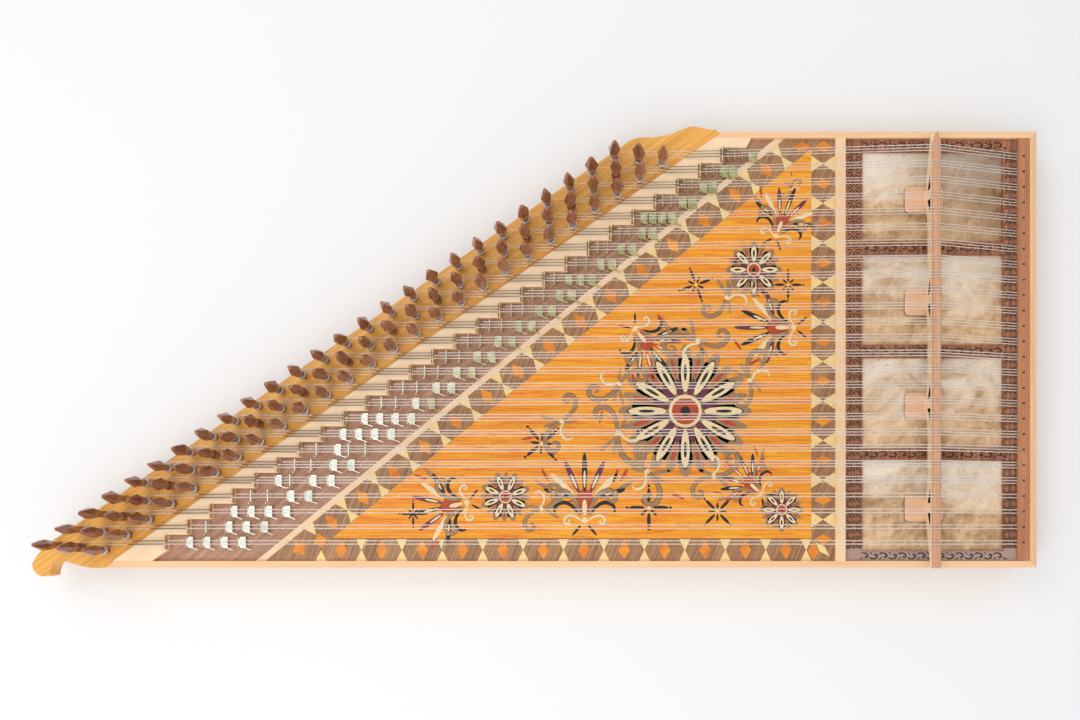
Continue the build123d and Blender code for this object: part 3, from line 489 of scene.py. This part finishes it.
feed(bridge_shader, place, darken(inside, cream, (0.03, 0.02, 0.015)))
paint(bridge_wood, "bridge")
paint(foot_wood, "bridge_feet")
paint(frame_wood, "skin_frame")
print("woods:", len([m for m in bpy.data.materials if m.use_nodes]))

# %% [markdown]
# Skins
#
# Four fish or calf skins are stretched over the frame on the right. Raw skin is pale and greasy
# in some places and brown in others, with fine veins and specks. Three layers of noise do that:
# clouds, blotches and grain. A whitish painted sheen lies on the rear half of each window, so the
# shader counts how far a point is into its own window. The skins also turn darker towards their
# rear right corner.

# %% Skin
WINDOW_PITCH = 96.23 * MM
WINDOW_FRONT = -186.25 * MM
skin, skin_shader, place = new_finish("skin", {"Coat Weight": 0.25, "Coat Roughness": 0.3})
clouds = noise(turned(place, 0.3, (60 * MM, 38 * MM, 40 * MM)), 3.0, 0.6, 1.0)
blotches = noise(turned(place, 1.2, (11 * MM, 8 * MM, 9 * MM)), 5.0, 0.72, 0.35)
grain = noise(turned(place, 0.0, (1.6 * MM, 1.0 * MM, 1.2 * MM)), 2.0, 0.6)
x, y, z = axes(place)
into_window = ((y - WINDOW_FRONT) / WINDOW_PITCH).math("FRACT", (y - WINDOW_FRONT) / WINDOW_PITCH)
# painted sheen: a whitish sheen painted on the rear part of each window
painted_sheen = ramp(into_window + (clouds - 0.5) * 1.5, (0.34, 0.0), (0.92, 1.0))
tan_skin = blend(ramp(blotches * 0.45 + clouds * 0.55, (0.36, 0.0), (0.62, 1.0)),
                 (0.36, 0.185, 0.075), (0.94, 0.66, 0.38))
# the skin with the painted sheen laid over it
skin_and_sheen = blend(painted_sheen * 0.8, tan_skin, (0.97, 0.89, 0.77))
dots = noise(turned(place, 0.0, (2.6 * MM, 2.2 * MM, 2.0 * MM)), 1.0)
specks = ramp(dots, (0.28, 1.0), (0.34, 0.0))
# the skins turn darker towards their rear right corner
rear_right_darkening = ramp(x + y * 0.7 + (clouds - 0.5) * 0.16, (0.455, 0.0), (0.54, 1.0))
under = darken(specks * 0.55 + (grain - 0.5) * 0.5, skin_and_sheen, (0.5, 0.38, 0.27))
skin_colour = darken(rear_right_darkening * 0.85, under, (0.40, 0.31, 0.27))
feed(skin_shader, place, skin_colour, 0.38 + (blotches - 0.5) * 0.2, blotches + grain * 0.2,
     0.015 * MM)
paint(skin, "skins")
print("one window every", round(WINDOW_PITCH / MM, 2), "mm")

# %% [markdown]
# Strings, nuts and levers
#
# Qanun strings are clear nylon, with thicker ones in the bass, and they read as thin bright
# lines. The levers are stamped from sheet metal and catch the light of the whole room, so they
# are a true metal with fine brush marks, greenish brass in the treble, painted pale silver in the
# bass as a painted reflection. Nuts are small bars of pale brass. Where a string crosses the pale
# nut board, it is painted dark: painted shade.

# %% Nylon
nylon, nylon_shader, place = new_finish("nylon", {"IOR": 1.5, "Transmission Weight": 0.55})
cloudy = noise(turned(place, 0.0, (30 * MM, 2 * MM, 2 * MM)), 2.0)
x, y, z = axes(place)
before_nut = FIRST_NUT_X - x + (y - FIRST_COURSE_Y) * (NUT_STEP / COURSE_PITCH)
# painted shade: strings are painted dark where they cross the pale nut board
painted_string_shade = (before_nut > -1 * MM) * (before_nut < 33 * MM)
clear = blend(cloudy, (0.88, 0.83, 0.76), (0.99, 0.96, 0.92))
feed(nylon_shader, place, darken(painted_string_shade * 0.85, clear, (0.16, 0.12, 0.10)), 0.04 + cloudy * 0.06)
string_names = [n for n in nodes if n.startswith("string")]
paint(nylon, *string_names)

# %% Metals
def metal(name, bright, dull, rough, brush=1.2, bass=None):
    """Sheet metal with brush marks and a little tarnish; towards the bass it may turn to a pale
    colour, a painted reflection.
    """
    material, shader, place = new_finish(name, {"Metallic": 1.0})
    marks = noise(turned(place, 0.0, (0.25 * MM, brush * 4 * MM, 0.25 * MM)), 2.0)
    tarnish = noise(turned(place, 0.0, (7 * MM, 7 * MM, 7 * MM)), 3.0)
    colour = blend(ramp(tarnish, (0.38, 0.0), (0.66, 1.0)), dull, bright)
    # painted reflection: towards the bass the colour turns to a pale silver
    if bass:
        colour = blend(ramp(axes(place)[0] * 5 + 1.0, (0.2, 0.0), (0.85, 1.0)), bass, colour)
    feed(shader, place, colour, rough + (marks - 0.5) * 0.15, marks, 0.01 * MM)
    return material


# pale silver of the bass levers: a painted reflection
REFLECTION_SILVER = (0.88, 0.90, 0.82)
lever_metal_and_reflection = metal("lever_metal_and_reflection", (0.66, 0.64, 0.36), (0.40, 0.38, 0.19), 0.34, 1.2, REFLECTION_SILVER)
bass_reflection_metal = metal("bass_reflection_metal", REFLECTION_SILVER, (0.66, 0.68, 0.58), 0.3)
treble_metal = metal("treble_metal", (0.66, 0.64, 0.36), (0.40, 0.38, 0.19), 0.34)
brass = metal("brass", (0.90, 0.70, 0.38), (0.66, 0.46, 0.20), 0.3)
steel = metal("steel", (0.55, 0.53, 0.50), (0.30, 0.28, 0.26), 0.35)
iron = metal("iron", (0.10, 0.08, 0.07), (0.045, 0.035, 0.03), 0.5)
lever_names = [f"lever_course_{k:02d}" for k in range(2, COURSES + 1, 2)]
paint(lever_metal_and_reflection, "levers")
# the bass levers carry the painted reflection
paint(bass_reflection_metal, *lever_names[:4])
paint(treble_metal, *lever_names[4:])
paint(brass, "course_nuts", "lever_brackets")
paint(steel, "lever_pins")
paint(iron, "hitch_nails")
unpainted = [name for name, node in nodes.items() if not node.data.materials]
print("levers:", len(lever_names), "nodes; nodes without a finish:", unpainted)

# %% [markdown]
# Ornament in the soundboard
#
# On the real instrument a craftsperson saws flowers, leaves and scrolls from dyed veneer and
# glues them into the soundboard. This set is a plain design of its own: a large rosette, small
# rosettes, sprays of leaves and scrolls, in the colours of such work. Every shape is drawn once,
# a circle with its ends pulled to points, or a curled path, and each copy is a thin solid sunk
# into the board. Higher layers stand a few hundredths of a millimetre over lower ones.

# %% Shapes of the ornament, each drawn once in a size of one metre
LAYER = 0.03 * MM
SINK = 0.1 * MM


def pull(obj, picked, move=(0, 0, 0), stretch=(1, 1, 1)):
    """Moves and stretches the corners that a test picks."""
    for vertex in obj.data.vertices:
        vertex.select = bool(picked(vertex.co))
    bpy.ops.object.mode_set(mode="EDIT")
    bpy.ops.transform.translate(value=move)
    bpy.ops.transform.resize(value=stretch)
    bpy.ops.object.mode_set(mode="OBJECT")


def thin_solid(name, corners, tip=0.0, root=0.0, waist=1.0):
    """A circle from the origin along X; its tip and root can be pulled out to points."""
    deselect()
    centre = 0.5 if tip or root else 0.0
    bpy.ops.mesh.primitive_circle_add(
        vertices=corners, radius=0.5, fill_type="NGON", location=(centre, 0, 0), rotation=(0, 0, 0))
    obj = bpy.context.object
    bpy.ops.object.transform_apply(location=True)
    bpy.ops.object.mode_set(mode="EDIT")
    bpy.ops.mesh.select_mode(type="VERT")
    bpy.ops.mesh.select_all(action="DESELECT")
    bpy.ops.object.mode_set(mode="OBJECT")
    if tip or root:
        pull(obj, lambda c: c.x > 0.25, stretch=(1.0 - tip / 2, 1, 1))
        pull(obj, lambda c: c.x < 0.42, stretch=(1, waist, 1))
        far = max(v.co.x for v in obj.data.vertices) - 1e-4
        near = min(v.co.x for v in obj.data.vertices) + 1e-4
        pull(obj, lambda c: c.x > far, move=(tip, 0, 0))
        pull(obj, lambda c: c.x < near, move=(-root, 0, 0))
    bpy.ops.object.mode_set(mode="EDIT")
    bpy.ops.mesh.select_all(action="SELECT")
    bpy.ops.transform.translate(value=(0, 0, -SINK))
    bpy.ops.mesh.extrude_region_move(TRANSFORM_OT_translate={"value": (0, 0, SINK)})
    bpy.ops.object.mode_set(mode="OBJECT")
    obj.name = name
    return obj


def curl(name, turns, thick, fine=0.25, tight=2.0, cuts=6, smooth=2):
    """A stem from the origin along X that winds itself up, thinner towards both ends."""
    deselect()
    bpy.ops.curve.primitive_nurbs_path_add()
    obj = bpy.context.object
    bpy.ops.object.mode_set(mode="EDIT")
    bpy.ops.curve.select_all(action="SELECT")
    bpy.ops.curve.subdivide(number_cuts=cuts)
    bpy.ops.object.mode_set(mode="OBJECT")
    points = obj.data.splines[0].points
    last = len(points) - 1
    here, run = Vector((0.0, 0.0, 0.0)), 0.0
    for k, point in enumerate(points):
        along = k / last
        turn = 2 * pi * turns * along ** tight
        point.co = (here.x, here.y, 0.0, 1.0)
        point.radius = fine + (1 - fine) * sin(pi * min(1.0, along * 0.9 + 0.1)) ** 0.8
        here += Vector((cos(turn), sin(turn), 0.0)) * (1.6 / last) * (1 - 0.6 * along)
    obj.data.dimensions = "3D"
    obj.data.resolution_u = smooth
    obj.data.bevel_depth = thick / 2
    obj.data.bevel_resolution = smooth - 1
    obj.data.use_fill_caps = True
    bpy.ops.object.convert(target="MESH")
    bpy.ops.object.mode_set(mode="EDIT")
    bpy.ops.mesh.select_all(action="SELECT")
    bpy.ops.transform.resize(value=(1, 1, 2 * SINK / thick))
    bpy.ops.object.mode_set(mode="OBJECT")
    bpy.context.object.name = name
    return bpy.context.object


disc = thin_solid("disc", 24)
petal = thin_solid("petal", 16, tip=0.16, root=0.06, waist=0.62)
leaf = thin_solid("leaf", 14, tip=0.2, root=0.14)
bulb = thin_solid("bulb", 16, tip=0.22, waist=1.25)
scroll = curl("scroll", 1.25, 0.10)
hook = curl("hook", 0.55, 0.13, 0.15, 1.3)
bar = thin_solid("bar", 4)
bar.rotation_euler.z = radians(45)
bar.scale = (2 ** 0.5, 2 ** 0.5, 1.0)
settle(bar, "bar")
small_petal = thin_solid("small_petal", 8, tip=0.16, root=0.06, waist=0.62)
small_scroll = curl("small_scroll", 1.1, 0.13, 0.3, 1.8, 3, 1)
masters = [disc, petal, leaf, bulb, scroll, hook, bar, small_petal, small_scroll]
print("ornament shapes:", [(m.name, len(m.data.vertices)) for m in masters])

# %% Laying copies
heaps = {}


def stamp(motif, shape, colour, layer, x, y, turn, long, wide, flip=1):
    """One copy of a shape. A motif has a centre, a turn and a growth; the rest is inside it."""
    centre_x, centre_y, spin, grow = motif
    copy = shape.copy()
    copy.data = shape.data.copy()
    at = Matrix.Rotation(radians(spin), 3, "Z") @ Vector((x, y, 0.0)) * grow
    copy.location = ((centre_x + at.x) * MM, (centre_y + at.y) * MM, BOARD_TOP + layer * LAYER)
    copy.rotation_euler.z = radians(spin + turn)
    copy.scale = (long * grow * MM, flip * wide * grow * MM, 1.0)
    bpy.context.scene.collection.objects.link(copy)
    heaps.setdefault(colour, []).append(copy)


def gather(colour, name):
    """All copies of one colour become one piece, its normals outward."""
    pieces = heaps.pop(colour)
    deselect()
    for piece in pieces:
        piece.select_set(True)
    bpy.context.view_layer.objects.active = pieces[0]
    bpy.ops.object.join()
    piece = settle(bpy.context.object, name)
    bpy.ops.object.mode_set(mode="EDIT")
    bpy.ops.mesh.select_all(action="SELECT")
    bpy.ops.mesh.normals_make_consistent(inside=False)
    bpy.ops.object.mode_set(mode="OBJECT")
    return piece


def around(radius, turn):
    """A point on a circle."""
    return radius * cos(radians(turn)), radius * sin(radians(turn))


# %% Motifs
def rosette(x, y, radius, petals, spin=0.0):
    """A walnut disc with two rings of petals and a round heart."""
    motif = (x, y, spin, radius / 50)
    step = 360 / petals
    girth = 2 * pi * 50 / petals
    stamp(motif, disc, "walnut", 1, 0, 0, 0, 88, 88)
    for k in range(petals):
        turn = k * step
        gap = turn + step / 2
        stamp(motif, leaf, "walnut", 2, *around(24, gap), gap, 28, girth * 0.3)
        stamp(motif, leaf, "red", 3, *around(28, gap), gap, 16, girth * 0.13)
        stamp(motif, petal, "walnut", 1, *around(12, turn), turn, 40, girth * 0.74)
        stamp(motif, petal, "black", 3, *around(11, turn), turn, 34.6, girth * 0.51)
        stamp(motif, petal, "cream", 4, *around(12, turn), turn, 32.5, girth * 0.44)
        stamp(motif, leaf, "black", 5, *around(24, turn), turn, 14, girth * 0.1)
        stamp(motif, leaf, "purple", 6, *around(9, gap), gap, 18, girth * 0.2)
    stamp(motif, disc, "cream", 7, 0, 0, 0, 27, 27)
    stamp(motif, disc, "red", 8, 0, 0, 0, 22, 22)
    stamp(motif, disc, "black", 9, 0, 0, 0, 8, 8)


def spray(x, y, spin, grow=1.0, colours=("black", "purple", "cream")):
    """A bulb with seven leaves that fan out over it, and curled stems at both sides."""
    motif = (x, y, spin, grow)
    stamp(motif, bulb, "red", 2, 2, 0, 0, 22, 12)
    stamp(motif, leaf, "cream", 3, 5, 0, 0, 14, 4)
    stamp(motif, disc, "cream", 4, 2, 0, 0, 5, 5)
    for k in range(-3, 4):
        turn = k * 24
        reach = 34 - 3.2 * abs(k)
        stamp(motif, petal, colours[abs(k) % 3], 3, *around(22, turn * 0.35), turn, reach, 7.5)
        if colours[abs(k) % 3] != "cream":
            stamp(motif, leaf, "cream", 4, *around(28, turn * 0.5), turn, reach * 0.45, 2.0)
    for side in (-1, 1):
        stamp(motif, scroll, "walnut", 2, 6, side * 4, side * 14, 46, 46, side)
        stamp(motif, scroll, "cream", 2, 1, side * 2, side * 52, 25, 25, side)
        stamp(motif, hook, "black", 2, 8, side * 6, side * 30, 26, 26, side)
        stamp(motif, petal, "walnut", 2, 26, side * 25, side * 62, 17, 5.5)
        stamp(motif, petal, "red", 3, 33, side * 29, side * 30, 13, 4.5)
        stamp(motif, petal, "black", 2, -1, side * 2, side * 140, 12, 3.6)


def crosslet(x, y, spin, grow=1.0):
    """Four black leaves and four small ones round a light dot."""
    motif = (x, y, spin, grow)
    for k in range(4):
        stamp(motif, petal, "black", 2, *around(2.4, 90 * k), 90 * k, 15, 5.6)
        stamp(motif, leaf, "black", 2, *around(1.6, 90 * k + 45), 90 * k + 45, 8.5, 2.6)
        stamp(motif, disc, "black", 2, *around(20.2, 90 * k), 0, 2.6, 2.6)
    stamp(motif, disc, "cream", 3, 0, 0, 0, 3.4, 3.4)


def vine(x, y, spin, grow=1.0, side=1):
    """Two curled stems, back to back, with leaves where they part."""
    motif = (x, y, spin, grow)
    stamp(motif, scroll, "walnut", 2, 0, 0, 0, 52, 52, side)
    stamp(motif, scroll, "walnut", 2, 3, 0, 180, 44, 44, side)
    stamp(motif, hook, "cream", 3, 0, side * 1.5, 24 * side, 24, 24, side)
    for turn, reach in ((-52, 18), (-18, 15), (150, 16)):
        stamp(motif, petal, "walnut", 2, 4, 0, side * turn, reach, 5.4)
    stamp(motif, petal, "red", 3, 30, side * -1, -24 * side, 13, 4.4)
    stamp(motif, disc, "cream", 4, 2, 0, 0, 4.2, 4.2)


# %% [markdown]
# Where the motifs lie
#
# The field is a triangle with its right angle at the lower right. The large rosette fills that
# corner, vines run round it, and smaller motifs follow the two edges, so that all colours return
# everywhere. Each line gives a place in millimetres, a turn in degrees and a growth. Each motif
# keeps clear of the bands, because a piece of veneer would be cut off there.

# %% The layout on the field
rosette(142, -56, 57, 12)
rosette(-26, -136, 22, 8, 20)
rosette(206, 76, 24, 8)
rosette(232, -148, 19, 8)
spray(-60, -141, 192, 0.98)
spray(226, 106, 68, 0.86)
spray(48, -160, 90, 1.12)
spray(245, 22, 180, 0.98, ("purple", "black", "cream"))
spray(94, 22, -51, 0.94, ("black", "red", "purple"))
spray(214, -134, 138, 0.8, ("red", "purple", "black"))
VINES = (
    (196, 1.15, 1), (236, 1.05, -1), (292, 1.0, 1), (24, 1.0, -1), (78, 1.1, 1), (156, 1.0, -1),
)
for turn, grow, side in VINES:
    x, y = around(66, turn)
    vine(142 + x, -56 + y, turn + 78, grow, side)
crosslet(108, -146, 0, 1.0)
crosslet(8, -86, 40, 1.0)
crosslet(238, 62, 0, 0.7)
crosslet(172, -150, 45, 0.85)
crosslet(152, 62, 20, 0.8)
crosslet(-112, -152, 0, 0.62)
vine(6, -148, 20, 0.9)
vine(180, 48, 70, 1.0, -1)
vine(28, -64, 214, 1.0)
vine(240, 150, 80, 0.42, -1)
print("copies laid:", {colour: len(pieces) for colour, pieces in heaps.items()})

# %% Fine dark lines between the field and its bands
field_left, field_right = -188.0, 259.6
field_front, field_rear = -175.15, 189.6
stamp((0, 0, 0, 1), bar, "black", 1, (field_left + field_right) / 2, field_front, 0,
      field_right - field_left, 0.6)
run = (field_rear - field_front) / sin(BAR_SLANT)
middle = ((field_left + field_right) / 2, (field_front + field_rear) / 2)
stamp((*middle, 0, 1), bar, "walnut", 1, 0, 0, BAR_ANGLE, run, 0.45)

# %% Veneers of the ornament
INLAYS = {
    "black": ((0.018, 0.012, 0.010), (0.007, 0.005, 0.004)),
    "cream": ((0.95, 0.78, 0.47), (0.84, 0.63, 0.33)),
    "red": ((0.60, 0.085, 0.02), (0.34, 0.04, 0.012)),
    "purple": ((0.20, 0.035, 0.07), (0.10, 0.015, 0.035)),
    "walnut": ((0.46, 0.27, 0.125), (0.27, 0.15, 0.07)),
}
for colour, (pale, deep) in INLAYS.items():
    piece = gather(colour, f"ornament_{colour}")
    finish = wood(f"inlay_{colour}", pale, deep, radians(25), 4.0, 0.7, 0.3, 0.0, 0.45, 0.05)[0]
    piece.data.materials.append(finish)
    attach(piece, BODY)
    print(piece.name, len(piece.data.polygons), "faces")

# %% [markdown]
# Engraving on the skin frame
#
# The frame round the skins is dark wood with small pressed rosettes, one to a course, and a
# running scroll on its cross bars. On the real one a stamp or a laser burns them in. They are
# burnt lines with no depth to speak of, so thin dark shapes lie in the face of the frame. One
# rosette is put together first and then copied as a whole.

# %% Engraved rosettes and running scrolls
LEFT_STRIP = 299.4
RIGHT_STRIP = 445.1
BARS_Y = (-191.05, -96.15, 0.1, 96.35, 191.9)
SCROLLS, FIRST_SCROLL, SCROLL_PITCH = 15, 311, 8.9
centre = (0, 0, 0, 1.0)
for k in range(8):
    stamp(centre, small_petal, "burnt", 2, *around(1.3, 45 * k), 45 * k, 4.6, 2.3)
    stamp(centre, bar, "burnt", 2, *around(5.4, 45 * k + 22.5), 45, 0.9, 0.9)
for k in range(4):
    stamp(centre, small_petal, "burnt", 2, *around(5.2, 90 * k + 45), 90 * k + 45, 3.6, 1.6)
    stamp(centre, small_scroll, "burnt", 2, *around(5.8, 90 * k + 45), 90 * k + 80, 3.4, 3.4)
rosette_mark = gather("burnt", "rosette_mark")
rosette_mark.location.z = -BOARD_TOP
rosette_mark = settle(rosette_mark, "rosette_mark")
for k in range(COURSES):
    y = course_y(k) / MM
    stamp((LEFT_STRIP, y, 0, 1), rosette_mark, "burnt", 0, 0, 0, 0, 1000, 1000)
    stamp((RIGHT_STRIP, y, 0, 0.9), rosette_mark, "burnt", 0, 0, 0, 0, 1000, 1000)
for y in BARS_Y:
    for k in range(SCROLLS):
        side = 1 if k % 2 else -1
        motif = (FIRST_SCROLL + SCROLL_PITCH * k, y, 0, 0.94)
        stamp(motif, small_scroll, "burnt", 2, -5, -side * 3.0, 0, 12, 11, side)
        stamp(motif, small_petal, "burnt", 2, 2, side * 1.2, side * 24, 5.2, 1.9)
        stamp(motif, small_petal, "burnt", 2, -3, side * 1.0, side * 140, 4.2, 1.7)
        stamp(motif, bar, "burnt", 2, 5.4, side * 2.6, 45, 1.2, 1.2)
        stamp(motif, bar, "burnt", 2, -1, side * 3.6, 45, 0.8, 0.8)
masters.append(rosette_mark)
engraving = gather("burnt", "frame_engraving")
burnt = wood(
    "burnt_wood", (0.020, 0.012, 0.010), (0.010, 0.006, 0.005), 0.0, 3.0, 0.7, 0.3, 0.0, 0.5,
)[0]
engraving.data.materials.append(burnt)
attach(engraving, BODY)
for master in masters:
    bpy.data.objects.remove(master, do_unlink=True)
print("engraving:", len(engraving.data.polygons), "faces")
